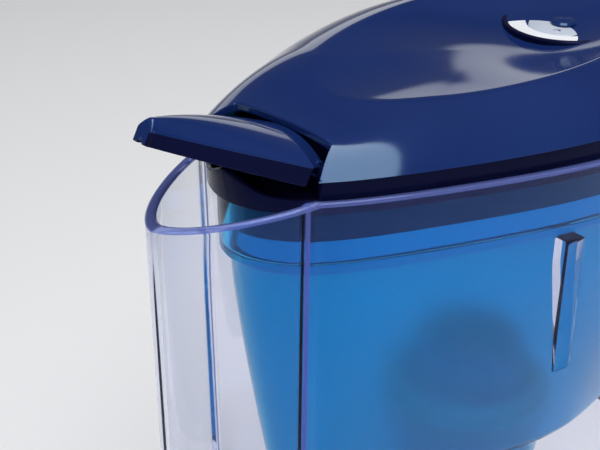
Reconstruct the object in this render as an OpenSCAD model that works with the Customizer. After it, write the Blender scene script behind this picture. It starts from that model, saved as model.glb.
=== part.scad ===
// Water filter pitcher: a clear egg-shaped jug with a spout and a handle, a tinted hopper that
// holds a filter cartridge, a domed lid with a dished top and a date dial, and a pouring flap.
// Every piece is drawn from the crease where the spout meets the body (x = 0) and from the
// jug's rim (z = 0), with the spout towards -x, and is then set down on its base pad.

/* [Jug] */
// Height of the jug from its base to its rim
jug_h = 222; // [200:1:250]
// Length of the egg-shaped body at the rim
body_l = 210; // [200:1:225]
// Width of the body at the rim
body_w = 120; // [112:1:130]
// Width of the slimmer egg that the nose follows
nose_w = 92; // [88:1:98]
// Reach of the egg's nose ahead of the crease
nose_l = 14.3; // [13:0.1:16]
// Reach of the spout ahead of the crease
spout_l = 33.8; // [31:0.1:38]
// How far the lip dips below the rim
lip_drop = 3; // [2:0.1:4]
// Depth over which the spout stays upright before it runs into the nose
spout_run = 90; // [70:1:110]
// Thickness of the jug's wall
jug_t = 2.4; // [2:0.1:2.8]
// Thickness of the jug's floor
floor_t = 3; // [2:0.1:5]
// How far each side draws in from the rim to the base
draft = 4; // [2:0.1:6]
// Radius of the edge round the base
base_r = 9; // [5:0.5:14]
// Thickness of the lugs inside the wall that carry the hopper
lug_t = 5; // [3:0.5:8]
// Height of those lugs
lug_h = 42; // [25:1:60]

/* [Handle] */
// Reach of the handle behind the body
handle_l = 50; // [42:1:62]
// Height of the handle from root to root
handle_h = 140; // [115:1:155]
// Depth of the handle's top root below the rim
handle_top = 24; // [20:1:34]
// Width of the handle across the hand
handle_w = 24; // [20:1:30]
// Thickness of the handle
handle_t = 12; // [10:0.5:15]
// Thickness of the soft grip on the handle's inner face
grip_t = 2.2; // [1.5:0.1:3.5]

/* [Base pad] */
// Thickness of the pad
pad_t = 1.6; // [1:0.1:3]
// How far the pad lies inside the base's flat
pad_in = 2; // [1:0.5:6]

/* [Hopper] */
// Depth of the hopper below the rim
hopper_h = 112; // [95:1:120]
// Thickness of the hopper's wall
hopper_t = 2; // [1.5:0.1:2.4]
// Depth of the hopper's ledge below the rim
ledge_z = 21; // [18:0.5:26]
// Width of that ledge
ledge_w = 2.7; // [2:0.1:4]
// How far the hopper draws in from the ledge to its floor
hopper_draw = 13.8; // [8:0.1:18]
// Radius of the socket's bore for the cartridge
socket_r = 23; // [21:0.5:23.5]
// Depth of the socket below the hopper's floor
socket_h = 16; // [12:1:24]

/* [Lid] */
// Height of the lid's lower edge above the rim
lid_z = 5.4; // [4.5:0.1:7]
// Thickness of the lid
lid_t = 2.2; // [1.6:0.1:2.4]
// Rise of the dome above the lid's lower edge
dome_h = 10; // [9:0.1:12]
// Rise of the dome at the flap's notch
dome_front = 6.4; // [6:0.1:8]
// Length of the dish in the lid
dish_l = 128; // [116:1:134]
// Width of the dish
dish_w = 68; // [60:1:74]
// Depth of the dish
dish_h = 8; // [6:0.1:9]
// Where the notch's back edge lies behind the crease
notch_x = 9.6; // [9:0.1:12]
// Width of the notch at its back
notch_w = 35.4; // [34.6:0.1:37]
// Width of the notch at the lid's lower edge
mouth_w = 43.8; // [43:0.1:46]
// Depth of the lid's plug below the collar
plug_h = 9.5; // [6:0.5:14]
// Height of the crest at the collar's nose
crest_h = 4.2; // [2:0.1:5]

/* [Flap] */
// Length of the flap from its hinge to its tip
flap_l = 43.2; // [41:0.1:46]
// Width of the flap where its skirts end
flap_w = 38.8; // [37:0.1:39.4]
// Width of the flap at its tip
tip_w = 3.6; // [2:0.1:6]
// Depth of the flap's skirts at the hinge
skirt_h = 5.2; // [4:0.1:6]
// Depth of the skirts at the tip
tip_h = 3.8; // [3:0.1:5]
// Rise of the flap's crown above its edges at the hinge
crown_h = 5.2; // [4:0.1:6]
// Thickness of the flap
flap_t = 1.7; // [1.3:0.1:2]
// How far the flap stands open
flap_open = 30; // [20:1:31]
// Where the hinge lies behind the crease
hinge_x = 5.6; // [5:0.1:6]
// Height of the hinge above the rim
hinge_z = 5; // [4.8:0.1:5.4]
// Radius of the hinge pins
pin_r = 1.2; // [0.9:0.1:1.4]
// Running clearance of the pins in their ears
pin_gap = 0.06; // [0.02:0.01:0.1]

/* [Date dial] */
// Where the dial's middle lies behind the crease
dial_x = 126; // [120:1:130]
// Radius of the dial's cup
cup_r = 19; // [16:0.5:20]
// Radius of the month disc
month_r = 11; // [9:0.5:13]
// Radius of the dial's spindle
spindle_r = 2.5; // [2:0.1:4]

/* [Cartridge] */
// Radius of the cartridge's body
filter_r = 22; // [20:0.5:22.4]
// Height of the cartridge below its flange
filter_h = 62; // [50:1:80]
// Radius of the flange that rests on the seal
flange_r = 26.6; // [26:0.2:27.4]
// Height of the cartridge's head above the flange
head_h = 26; // [20:1:34]
// Thickness of the cartridge's wall
filter_t = 1.8; // [1.2:0.1:2.5]
// Width of the slots that let the water in
slot_w = 2.2; // [1.5:0.1:3]
// Number of those slots
slot_n = 12; // [8:1:16]

/* [Hidden] */

egg_n = 72;          // points round an egg
side_n = 25;         // steps along one side of the jug, from the back to the crease
spout_n = 10;        // steps along one side of the spout
fit_gap = 0.3;       // clearance between pieces that lift apart
egg_x = body_l / 2 - nose_l;
collar_in = jug_t + 0.4;                      // insets are from the jug's outer face
band_t = 1.8;                                 // wall of the collar
hopper_in = collar_in + 2.7;
plug_in = hopper_in + hopper_t + fit_gap;
seat_z = -4.3;                                // where the collar rests on the hopper
web_t = 2;
lid_in = 0.3;
flange_w = collar_in + band_t + 1;            // inner edge of the lid's seat on the collar
hub_x = egg_x;                                // axis of the cartridge
lid_reach = 0.75;                             // share of the way to the dish where the dome is flat

$fn = 64;

function smooth(t) = let (u = max(0, min(1, t))) u * u * (3 - 2 * u);
function mix(a, b, t) = a + (b - a) * t;

// A point of the egg, at an angle from its back and an inset from the jug's outer face
function egg(inset, a) = let (grow = smooth((0.85 + cos(a)) / 0.95))
    [egg_x + (body_l / 2 - inset) * cos(a),
     (nose_w / 2 - inset + (body_w - nose_w) / 2 * grow) * sin(a)];
function egg_ring(inset, z, n = egg_n) =
    [for (i = [0 : n - 1]) let (p = egg(inset, 360 * i / n)) [p[0], p[1], z]];
function egg_loop(inset) = [for (i = [0 : egg_n - 1]) egg(inset, 360 * i / egg_n)];

// Closed skin over rings of equal length, capped at both ends or closed on itself
module skin(rings, loop = false) {
    n = len(rings[0]);
    m = len(rings);
    sides = [for (k = [0 : m - (loop ? 1 : 2)]) for (i = [0 : n - 1])
        let (a = k * n + i, b = k * n + (i + 1) % n)
        let (c = (k + 1) % m * n + (i + 1) % n, d = (k + 1) % m * n + i)
        each [[a, c, b], [a, d, c]]];
    last = (m - 1) * n;
    caps = loop ? [] : [for (i = [0 : n / 2 - 2]) each [[i + 1, n - 2 - i, n - 1 - i, i],
        [last + i + 1, last + i, last + n - 1 - i, last + n - 2 - i]]];
    polyhedron([for (ring = rings) each ring], concat(sides, caps));
}

// The jug: its outline is the egg as far as the crease, then the spout as a rounded V
function taper(z) = -z / jug_h * draft;
function spout_reach(z) =
    mix(spout_l, nose_l - draft, smooth((-z - spout_run) / (jug_h - spout_run)));
function jug_side(z, inset) =
    let (d = inset + taper(z), reach = spout_reach(z) - inset)
    let (crease = acos(-egg_x / (body_l / 2 - d)), wide = egg(d, crease)[1])
    [for (i = [0 : side_n]) let (p = egg(d, crease * i / side_n)) [p[0], p[1], z],
     for (i = [1 : spout_n]) let (b = 90 * i / spout_n, out = pow(sin(b), 1.63))
        [-reach * out, wide * pow(cos(b), 1.2), z - lip_drop * out * max(0, 1 + z / 60)]];
function jug_ring(z, inset) = let (side = jug_side(z, inset), n = len(side))
    [each side, for (i = [n - 2 : -1 : 1]) [side[i][0], -side[i][1], side[i][2]]];

// Back wall of the jug at a height and a distance off the middle
function back_x(y, z) = let (half = body_w / 2 - taper(z))
    egg_x + (body_l / 2 - taper(z)) * sqrt(1 - pow(y / half, 2));

module jug_shell() {
    bottom = -jug_h;
    inner = bottom + floor_t;
    outer_rings = [for (b = [0 : 22.5 : 90])
        jug_ring(bottom + base_r * (1 - cos(b)), base_r * (1 - sin(b)) * 0.8)];
    walls = [-jug_h * 0.75, -jug_h * 0.6, -jug_h * 0.45, -spout_run, -60, -25, -0.5];
    inner_rings = [for (b = [90 : -30 : 0])
        jug_ring(inner + base_r * (1 - cos(b)), jug_t + base_r * (1 - sin(b)) * 0.8)];
    skin([each outer_rings, for (z = walls) jug_ring(z, 0), jug_ring(0, 0.5),
        jug_ring(0, jug_t - 0.5), for (i = [6 : -1 : 0]) jug_ring(walls[i], jug_t),
        each inner_rings]);
}

// Lugs moulded inside the wall, on whose tops the hopper's ledge rests
module lugs() {
    for (a = [28, 104], side = [-1, 1]) {
        wall_p = egg(jug_t, a);
        top = -ledge_z - fit_gap;
        translate([wall_p[0], side * wall_p[1], top]) rotate([0, 0, side * (a < 90 ? 46 : 94)])
            rotate([90, 0, 0]) linear_extrude(6, center = true)
            polygon([[0.6, 0], [-lug_t, 0], [-lug_t, -lug_h * 0.2], [-0.4, -lug_h], [0.6, -lug_h]]);
    }
}

// Middle line of the handle: out of the wall, down the grip and back into the wall
handle_steps = 22;
function handle_p(t) = let (b = 180 * t - 90, out = pow(max(0, cos(b)), 0.6))
    [back_x(0, -handle_top - handle_h * t) - jug_t / 2 + (handle_l - handle_t / 2 + jug_t / 2) * out,
     -handle_top - handle_h * (t - 0.04 * sin(360 * t))];
function handle_ring(t, thick, wide, shift = 0) =
    let (p = handle_p(t), q = handle_p(min(1, t + 0.01)), o = handle_p(max(0, t - 0.01)))
    let (way = (q - o) / norm(q - o), face = [-way[1], way[0]])
    [for (i = [0 : 15]) let (b = 360 * i / 16, c = cos(b), y = -wide / 2 * sin(b))
        let (reach = thick / 2 * sign(c) * pow(abs(c), 0.8) + shift)
        let (x = p[0] + face[0] * reach, z = p[1] + face[1] * reach)
        [t == 0 || t == 1 ? back_x(y, z) - jug_t / 2 : x, y, z]];
module handle() {
    skin([for (i = [0 : handle_steps]) handle_ring(i / handle_steps, handle_t, handle_w)]);
}

module jug() {
    color([0.82, 0.84, 0.93, 0.4]) union() {
        jug_shell();
        lugs();
        handle();
    }
}

// Soft grip: a strip bedded on the handle's inner face, under the fingers
module handle_grip() {
    steps = 12;
    color("midnightblue")
        skin([for (i = [steps : -1 : 0]) let (t = mix(0.2, 0.78, i / steps), p = handle_p(t))
            let (q = handle_p(t + 0.01), way = (q - p) / norm(q - p), face = [-way[1], way[0]])
            let (w = handle_w * 0.4 * pow(sin(180 * mix(0.08, 0.92, i / steps)), 0.4))
            [for (s = [[-1, 0], [-0.5, 0.28], [0, 0.38], [0.5, 0.28], [1, 0],
                       [0.6, 1], [0, 1.1], [-0.6, 1]])
                let (y = s[0] * w, c = sqrt(1 - pow(2 * y / handle_w, 2)))
                let (seat = handle_t / 2 * pow(c, 0.8) - 0.1)
                let (reach = -(s[1] < 1 ? seat : seat + grip_t * s[1]))
                [p[0] + face[0] * reach, y, p[1] + face[1] * reach]]]);
}

module base_pad() {
    color("midnightblue") translate([0, 0, -jug_h - pad_t])
        linear_extrude(pad_t) polygon(egg_loop(draft + base_r * 0.8 + pad_in));
}

// Hopper: a band under the collar, a ledge, and a bowl that draws in to the socket's hole
function hopper_ring(inset, z, s) = [for (i = [0 : egg_n - 1]) let (a = 360 * i / egg_n)
    let (p = egg(inset, a), c = [hub_x + socket_r * 1.12 * cos(a), socket_r * 1.12 * sin(a)])
    [mix(p[0], c[0], s), mix(p[1], c[1], s), z]];
function circle_ring(r, z) =
    [for (i = [0 : egg_n - 1]) let (a = 360 * i / egg_n) [hub_x + r * cos(a), r * sin(a), z]];
module hopper() {
    under = hopper_in + ledge_w;
    run = hopper_h - ledge_z;
    drop = [for (t = [0 : 0.2 : 1]) [under + 0.6 + hopper_draw * pow(t, 1.3), -ledge_z - run * t]];
    floor_z = -hopper_h;
    top_z = floor_z + hopper_t;
    low = drop[5][0];
    seat_r = socket_r * 1.12 + 1;
    color([0.05, 0.5, 0.85, 0.75]) skin([circle_ring(socket_r, floor_z - socket_h),
        circle_ring(socket_r + hopper_t, floor_z - socket_h),
        circle_ring(socket_r + hopper_t, floor_z - 2), circle_ring(seat_r, floor_z),
        hopper_ring(low + 3, floor_z, 0.5),
        hopper_ring(low + 4, floor_z, 0), hopper_ring(low + 1, floor_z + 1.5, 0),
        for (i = [4 : -1 : 1]) hopper_ring(drop[i][0], drop[i][1], 0),
        hopper_ring(under, -ledge_z - 1.2, 0), hopper_ring(under, -ledge_z, 0),
        hopper_ring(hopper_in, -ledge_z, 0), hopper_ring(hopper_in, seat_z, 0),
        hopper_ring(hopper_in + hopper_t, seat_z, 0),
        hopper_ring(hopper_in + hopper_t, -ledge_z + hopper_t, 0),
        hopper_ring(under + hopper_t, -ledge_z + hopper_t, 0),
        for (i = [1 : 4]) hopper_ring(drop[i][0] + hopper_t, drop[i][1], 0),
        hopper_ring(low + 3 + hopper_t, top_z + 1.5, 0), hopper_ring(low + 6 + hopper_t, top_z, 0),
        hopper_ring(low + 6, top_z, 0.5), circle_ring(seat_r, top_z),
        circle_ring(seat_r, top_z + 1.5), circle_ring(socket_r, top_z + 1.5)], loop = true);
}

module socket_seal() {
    color("gainsboro") translate([hub_x, 0, -hopper_h + hopper_t + 1.5]) rotate_extrude()
        translate([socket_r + 1.6, 0.9]) circle(0.9, $fn = 24);
}

// Lid: rings run from under the dish out to the lower edge and back over the dome
function dish_p(q, a) = [egg_x + dish_l / 2 * q * cos(a), dish_w / 2 * q * sin(a)];
function crown(x) = mix(dome_front, dome_h, smooth((x - notch_x) / 32));
function shoulder(s) = let (u = 1 - min(1, s / lid_reach)) sqrt(1 - u * u);
function lid_ring(s, down = 0) = [for (i = [0 : egg_n - 1]) let (a = 360 * i / egg_n)
    let (p = egg(lid_in, a), c = dish_p(1, a), x = mix(p[0], c[0], s))
    [x, mix(p[1], c[1], s), lid_z + crown(x) * shoulder(s) - down]];
function dish_ring(q, down = 0) = [for (i = [0 : egg_n - 1]) let (a = 360 * i / egg_n)
    let (p = dish_p(q, a)) [p[0], p[1],
        lid_z + crown(dish_p(1, a)[0]) - (dish_h + crown(dish_p(1, a)[0]) - dome_h)
            * (1 - pow(q, 2.4)) - down]];
module lid_shell_form() {
    steps = [0.04, 0.09, 0.16, 0.25, 0.36, 0.5, 0.66, 0.85, 1];
    hollow = [0.93, 0.8, 0.62, 0.4, 0.12];
    skin([for (i = [4 : -1 : 0]) dish_ring(hollow[i], lid_t), for (i = [8 : -1 : 3]) lid_ring(steps[i], lid_t),
        [for (p = lid_ring(0.16)) [p[0], p[1], lid_z + 1.6]],
        egg_ring(flange_w, lid_z + 1.6), egg_ring(flange_w, lid_z), egg_ring(lid_in, lid_z),
        for (s = steps) lid_ring(s), for (q = hollow) dish_ring(q)]);
}
// Notch that the flap sits in, cut straight down through the lid
module notch() {
    slope = (mouth_w - notch_w) / 2 / (notch_x - 2);
    side = [[-40, mouth_w / 2 + 6 * slope], [-5, mouth_w / 2 + 6 * slope], [1, mouth_w / 2],
        [notch_x - 1, notch_w / 2], [notch_x - 0.2, notch_w / 4]];
    translate([0, 0, lid_z - 1]) linear_extrude(dome_h + 4)
        polygon([for (p = side) [p[0], -p[1]], [notch_x, 0],
            for (i = [4 : -1 : 0]) side[i]]);
}
module lid_shell() {
    color("navy") difference() {
        lid_shell_form();
        notch();
        translate([dial_x, 0, 0]) cylinder(h = 30, r = cup_r + 0.1);
    }
}

// Collar: an upright band under the lid, a web that rests on the hopper and a plug inside it
step_x = 2.3;                                 // where the band steps up to the lid
step_a = acos((step_x - egg_x) / (body_l / 2 - collar_in - band_t / 2));
collar_a = [for (i = [0 : egg_n - 1]) let (a = 360 * i / egg_n, side = a < 180 ? step_a : 360 - step_a)
    each abs(a - side) < 180 / egg_n ? [side - 0.6, side + 0.6] : [a]];
function band_top(p) = let (crest = -0.7 + (crest_h + 0.7) * exp(-pow(p[1] / 8, 2)))
    mix(crest, lid_z, smooth(p[0] - step_x + 0.5));
module lid_collar() {
    section = [[collar_in, seat_z], [collar_in, 100], [collar_in + band_t, 100],
        [collar_in + band_t, seat_z + web_t], [plug_in + 2, seat_z + web_t],
        [plug_in + 2, seat_z - plug_h], [plug_in, seat_z - plug_h], [plug_in, seat_z]];
    color("midnightblue") skin([for (s = section) [for (a = collar_a) let (p = egg(s[0], a))
        [p[0], p[1], s[1] == 100 ? band_top(egg(collar_in + band_t / 2, a)) : s[1]]]], loop = true);
}

// Deck that closes the collar under the flap, with the two ears that carry its pins
ear_in = 18.5;
ear_out = 20.3;
ear_r = 2.1;
module hinge_deck() {
    edge = plug_in + 2 + 0.1;
    back = 18;
    color("midnightblue") difference() {
        union() {
            translate([0, 0, seat_z]) linear_extrude(web_t) intersection() {
                polygon(egg_loop(edge));
                translate([-40, -60]) square([40 + back, 120]);
            }
            for (side = [-1, 1]) translate([0, side * (ear_in + ear_out) / 2, 0])
                rotate([90, 0, 0]) linear_extrude(ear_out - ear_in, center = true) union() {
                    translate([hinge_x, hinge_z]) circle(ear_r);
                    polygon([[hinge_x - ear_r, hinge_z], [hinge_x - ear_r, seat_z + web_t],
                        [back, seat_z + web_t], [hinge_x + ear_r, hinge_z]]);
                }
            translate([back - 2, -ear_out, seat_z + web_t]) cube([2, 2 * ear_out, 9]);
        }
        translate([hinge_x, 0, hinge_z]) rotate([90, 0, 0])
            cylinder(h = 60, r = pin_r + pin_gap, center = true);
    }
}

// Flap, drawn shut about its hinge and then swung open: a crowned plate with a skirt along
// each side, whose back runs in between the lid's cheeks
flap_back = -5.4;                      // where the skirts end, from the hinge
rear_x = 1.4;                          // where the plate ends at its corners
flap_arc = 12;
function flap_run(x) = (flap_l + x) / (flap_l + flap_back);
function flap_edge(x) = 0.35 + 0.127 * (x - flap_back);
function flap_crown(x) = mix(0.6, crown_h, flap_run(x));
function flap_half(x) = x > flap_back
    ? flap_w / 2 - (x - flap_back) * 0.5
    : mix(tip_w / 2, flap_w / 2, flap_run(x));
function flap_low(x) = flap_edge(x) - mix(tip_h, skirt_h, flap_run(x));
function crowned(x, y, w) = flap_edge(x) + flap_crown(x) * (1 - pow(y / w, 2));
function flap_section(x, w, hollow, skirt) =
    let (low = skirt ? flap_low(x) : flap_edge(x) - flap_t, wi = skirt ? w - flap_t : w - 0.5)
    let (wy = w < flap_t * 1.6 ? w * 0.4 : wi)
    let (lean = x > flap_back ? 0.5 * (x - flap_back) / (rear_x - flap_back) : 0)
    let (rough = [[-w, low],
        for (i = [0 : flap_arc]) let (y = w * (2 * i / flap_arc - 1)) [y, crowned(x, y, w)],
        [w, low], [wy, low],
        for (i = [flap_arc : -1 : 0]) let (y = wy * (2 * i / flap_arc - 1))
            [y * 0.98, hollow ? crowned(x, y, w) - flap_t : low + 0.05 + 0.4 * (1 - pow(y / wy, 2))],
        [-wy, low]])
    [for (p = rough) [x - lean * (p[1] - flap_edge(x)), p[0], p[1]]];
module flap_form() {
    tip = -flap_l;
    skin([for (i = [3 : -1 : 0]) let (x = mix(flap_back + 0.4, rear_x, i / 3))
            flap_section(x, flap_half(x), true, false),
        for (i = [6 : -1 : 0]) let (x = mix(tip + 4, flap_back, i / 6))
            flap_section(x, flap_half(x), true, true),
        flap_section(tip + 3, flap_half(tip + 3), false, true),
        for (s = [[1.6, 1], [0.5, 0.85], [0, 0.55]])
            flap_section(tip + s[0], flap_half(tip + 2) * s[1], false, true)]);
}
knuckle_in = 12.5;
knuckle_out = 16.6;
module flap() {
    color("midnightblue") translate([hinge_x, 0, hinge_z]) rotate([0, flap_open, 0]) difference() {
        union() {
            flap_form();
            for (side = [-1, 1]) translate([0, side * (knuckle_in + knuckle_out) / 2, 0])
                rotate([90, 0, 0]) cylinder(h = knuckle_out - knuckle_in, r = ear_r, center = true);
        }
        rotate([90, 0, 0]) cylinder(h = 60, r = pin_r, center = true);
    }
}
module hinge_pins() {
    color("silver") for (side = [-1, 1])
        translate([hinge_x, side * (knuckle_in + ear_out) / 2, hinge_z]) rotate([90, 0, 0])
            cylinder(h = ear_out - knuckle_in, r = pin_r, center = true);
}

// Date dial: a cup let into the dish, a day ring and a month disc that turn in it, and a button
cup_floor = lid_z + dome_h - dish_h - lid_t - 1.5;
cup_top = lid_z + dome_h - dish_h + 2.6;
ring_z = cup_floor + 1.6;
dial_t = cup_top - ring_z - 0.8;
module dial_cup() {
    color("midnightblue") translate([dial_x, 0, 0]) rotate_extrude()
        polygon([[0, cup_floor], [cup_r, cup_floor], [cup_r, cup_top - 0.4], [cup_r - 0.4, cup_top],
            [cup_r - 1.4, cup_top], [cup_r - 1.4, ring_z], [spindle_r, ring_z],
            [spindle_r, cup_top - 0.6], [0, cup_top - 0.6]]);
}
module dial_wheel(inner, outer) {
    rotate_extrude() polygon([[inner, ring_z + 0.1], [outer, ring_z + 0.1],
        [outer, ring_z + dial_t - 0.5], [outer - 0.5, ring_z + dial_t],
        [inner + 0.5, ring_z + dial_t], [inner, ring_z + dial_t - 0.5]]);
}
module day_ring() {
    color("white") translate([dial_x, 0, 0]) difference() {
        dial_wheel(month_r + 0.2, cup_r - 1.6);
        rotate(18) translate([(month_r + cup_r) / 2 - 0.6, 0, ring_z + dial_t])
            cylinder(h = 1, r = 1.4, center = true);
    }
}
module month_disc() {
    color("gainsboro") translate([dial_x, 0, 0]) difference() {
        dial_wheel(spindle_r + 0.08, month_r);
        rotate(200) translate([month_r * 0.62, 0, ring_z + dial_t])
            cylinder(h = 1, r = 1.2, center = true);
    }
}
module dial_button() {
    color("midnightblue") translate([dial_x, 0, cup_top - 0.6]) rotate_extrude()
        polygon([[0, 0], [spindle_r + 1.6, 0], [spindle_r + 1.6, 0.5], [spindle_r + 0.9, 1],
            [0, 1.3]]);
}

// Cartridge: a shell hung by its flange from the socket's seal, with a slotted cap over the beds
seat_top = -hopper_h + hopper_t + 1.5 + 1.8;
module filter_shell() {
    color("white") translate([hub_x, 0, seat_top]) rotate_extrude()
        polygon([[filter_r - filter_t, -filter_h], [filter_r, -filter_h], [filter_r, 0],
            [flange_r, 0], [flange_r, 1.8], [filter_r + 0.4, 1.8], [filter_r - 1, 5],
            [filter_r - filter_t - 1, 5], [filter_r - filter_t, 1.8]]);
}
module filter_base() {
    color("white") translate([hub_x, 0, seat_top - filter_h]) difference() {
        rotate_extrude() polygon([[0, -3], [filter_r - 3, -3], [filter_r, -1.2], [filter_r, 0],
            [filter_r - filter_t - 0.2, 0], [filter_r - filter_t - 0.2, 1.6], [0, 1.6]]);
        for (k = [1 : 3], i = [0 : 6 * k - 1]) rotate(60 * i / k)
            translate([5.4 * k, 0, -4]) cylinder(h = 7, r = slot_w / 2);
    }
}
module disc(z, h, r) {
    translate([hub_x, 0, seat_top + z]) cylinder(h = h, r = r);
}
bed_r = filter_r - filter_t - 0.2;
bed_low = -filter_h + 1.6;
module bottom_screen() {
    color("lightsteelblue") disc(bed_low, 0.6, bed_r);
}
module resin_bed() {
    color("goldenrod") disc(bed_low + 0.6, filter_h / 2 - 3, bed_r);
}
module bed_divider() {
    color("lightsteelblue") disc(bed_low + filter_h / 2 - 2.4, 0.6, bed_r);
}
module carbon_bed() {
    color([0.12, 0.12, 0.13]) disc(bed_low + filter_h / 2 - 1.8, filter_h / 2 - 2, bed_r);
}
module top_screen() {
    color("lightsteelblue") disc(bed_low + filter_h - 3.8, 0.6, bed_r);
}
module filter_cap() {
    cap_r = filter_r - filter_t - 1.2;
    color("royalblue") translate([hub_x, 0, seat_top + 5]) difference() {
        rotate_extrude() polygon([[0, head_h - 9], [cap_r - 8, head_h - 9], [cap_r - 2, head_h - 12],
            [cap_r - 1, 1.5], [cap_r + 2.6, 1.5], [cap_r + 2.6, 0.05], [cap_r - 1.6, 0.05],
            [cap_r - 3.4, head_h - 13], [cap_r - 8.6, head_h - 10.8], [0, head_h - 10.8]]);
        for (i = [0 : slot_n - 1]) rotate(360 * i / slot_n) translate([cap_r - 4.6, -slot_w / 2, 4])
            cube([6, slot_w, head_h - 19]);
    }
}
module pull_tab() {
    color("royalblue") translate([hub_x, 0, seat_top + head_h - 4]) rotate([90, 0, 0])
        linear_extrude(2.4, center = true) difference() {
            circle(7);
            circle(4);
            translate([-10, -20]) square([20, 20]);
        }
}

// Sets a piece down on the table, with the middle of the body over the origin
module stand() {
    translate([-egg_x, 0, jug_h + pad_t]) children();
}

stand() jug();
stand() handle_grip();
stand() base_pad();
stand() hopper();
stand() socket_seal();
stand() lid_shell();
stand() lid_collar();
stand() hinge_deck();
stand() flap();
stand() hinge_pins();
stand() dial_cup();
stand() day_ring();
stand() month_disc();
stand() dial_button();
stand() filter_shell();
stand() filter_cap();
stand() top_screen();
stand() carbon_bed();
stand() bed_divider();
stand() resin_bed();
stand() bottom_screen();
stand() filter_base();
stand() pull_tab();
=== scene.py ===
# Looks for the filter pitcher: finer skins for the moulded pieces, materials, light and camera
import bpy
import numpy as np
from math import radians, pi
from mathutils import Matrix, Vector


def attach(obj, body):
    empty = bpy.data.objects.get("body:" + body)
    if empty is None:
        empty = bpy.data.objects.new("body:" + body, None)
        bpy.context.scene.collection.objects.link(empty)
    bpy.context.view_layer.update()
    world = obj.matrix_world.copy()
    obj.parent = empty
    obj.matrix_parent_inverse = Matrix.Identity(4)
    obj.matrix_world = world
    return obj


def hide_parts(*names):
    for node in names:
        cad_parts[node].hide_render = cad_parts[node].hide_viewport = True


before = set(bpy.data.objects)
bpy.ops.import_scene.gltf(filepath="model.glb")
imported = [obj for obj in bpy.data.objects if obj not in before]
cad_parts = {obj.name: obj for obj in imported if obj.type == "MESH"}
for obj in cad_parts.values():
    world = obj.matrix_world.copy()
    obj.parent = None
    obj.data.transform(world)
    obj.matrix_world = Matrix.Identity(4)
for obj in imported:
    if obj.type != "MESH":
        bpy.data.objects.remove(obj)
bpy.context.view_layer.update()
print("stage: frame loaded")

# every piece is worked out in millimetres from the crease and the rim, then set on the table
rimHeight = 223.6
eggShape = {"length": 210.0, "width": 120.0, "noseWidth": 92.0, "noseReach": 14.3}
eggX = eggShape["length"] / 2 - eggShape["noseReach"]


def toTable(x, y, z):
    # metres = (millimetres - egg's middle, + rim's height) / 1000, stacked on a last axis
    x, y, z = np.broadcast_arrays(x - eggX, y, z + rimHeight)
    return np.stack([x, y, z], axis=-1) / 1000.0


def smoothStep(t):
    # u * u * (3 - 2u) with u held between 0 and 1
    u = np.clip(t, 0.0, 1.0)
    return u * u * (3 - 2 * u)


def mix(a, b, t):
    # a + (b - a) * t
    return a + (b - a) * t


def addMesh(name, verts, faces, sharpDeg):
    # a smooth mesh whose edges stay sharp where its faces meet at more than sharpDeg
    mesh = bpy.data.meshes.new(name)
    mesh.from_pydata(verts.tolist(), [], faces)
    mesh.polygons.foreach_set("use_smooth", np.ones(len(mesh.polygons), dtype=bool))
    mesh.update()
    mesh.set_sharp_from_angle(angle=radians(sharpDeg))
    piece = bpy.data.objects.new(name, mesh)
    bpy.context.scene.collection.objects.link(piece)
    return piece


def skinMesh(name, grid, loopAlong=False, startPole=False, endPole=False, sharpDeg=40):
    # grid[row, column] closes round its columns; a pole is the mean of the end row, joined as a fan
    rows, cols = grid.shape[:2]
    verts = grid.reshape(-1, 3)
    k = np.arange(rows if loopAlong else rows - 1)[:, None]
    i = np.arange(cols)[None, :]
    nextRow, nextCol = (k + 1) % rows, (i + 1) % cols
    quads = np.stack([k * cols + i, k * cols + nextCol,
                      nextRow * cols + nextCol, nextRow * cols + i], axis=-1).reshape(-1, 4)
    faces = quads.tolist()
    ring = np.arange(cols)
    if startPole:
        verts = np.vstack([verts, grid[0].mean(axis=0)])
        pole = np.full(cols, len(verts) - 1)
        faces += np.stack([ring, pole, (ring + 1) % cols], axis=-1).tolist()
    if endPole:
        verts = np.vstack([verts, grid[-1].mean(axis=0)])
        pole = np.full(cols, len(verts) - 1)
        last = (rows - 1) * cols
        faces += np.stack([last + ring, last + (ring + 1) % cols, pole], axis=-1).tolist()
    return addMesh(name, verts, faces, sharpDeg)


def joinPieces(name, pieces):
    # vertices and faces of several skins laid end to end in one mesh
    verts, faces, base = [], [], 0
    for piece in pieces:
        count = len(piece.data.vertices)
        flat = np.empty(count * 3)
        piece.data.vertices.foreach_get("co", flat)
        verts.append(flat.reshape(-1, 3))
        faces += [[base + v for v in face.vertices] for face in piece.data.polygons]
        base += count
        old = piece.data
        bpy.data.objects.remove(piece)
        bpy.data.meshes.remove(old)
    return addMesh(name, np.vstack(verts), faces, 40)


def pickFaces(piece, material, chosen):
    # chosen faces take a second material
    piece.data.materials.append(material)
    piece.data.polygons.foreach_set("material_index", chosen.astype(np.int32))


def roundCorners(points, radii, steps=6):
    # each corner of a closed profile becomes (1-t)^2 a + 2t(1-t) corner + t^2 b, a and b a radius away
    pts = np.asarray(points, dtype=float)
    before, after = np.roll(pts, 1, axis=0) - pts, np.roll(pts, -1, axis=0) - pts
    lenBefore = np.linalg.norm(before[:, :2], axis=1)
    lenAfter = np.linalg.norm(after[:, :2], axis=1)
    reach = np.minimum(radii, 0.48 * np.minimum(lenBefore, lenAfter))[:, None]
    a = pts + before / np.maximum(lenBefore, 1e-9)[:, None] * reach
    b = pts + after / np.maximum(lenAfter, 1e-9)[:, None] * reach
    t = np.linspace(0, 1, steps)[None, :, None]
    out = (1 - t) ** 2 * a[:, None] + 2 * t * (1 - t) * pts[:, None] + t ** 2 * b[:, None]
    return out.reshape(-1, pts.shape[1])


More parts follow.
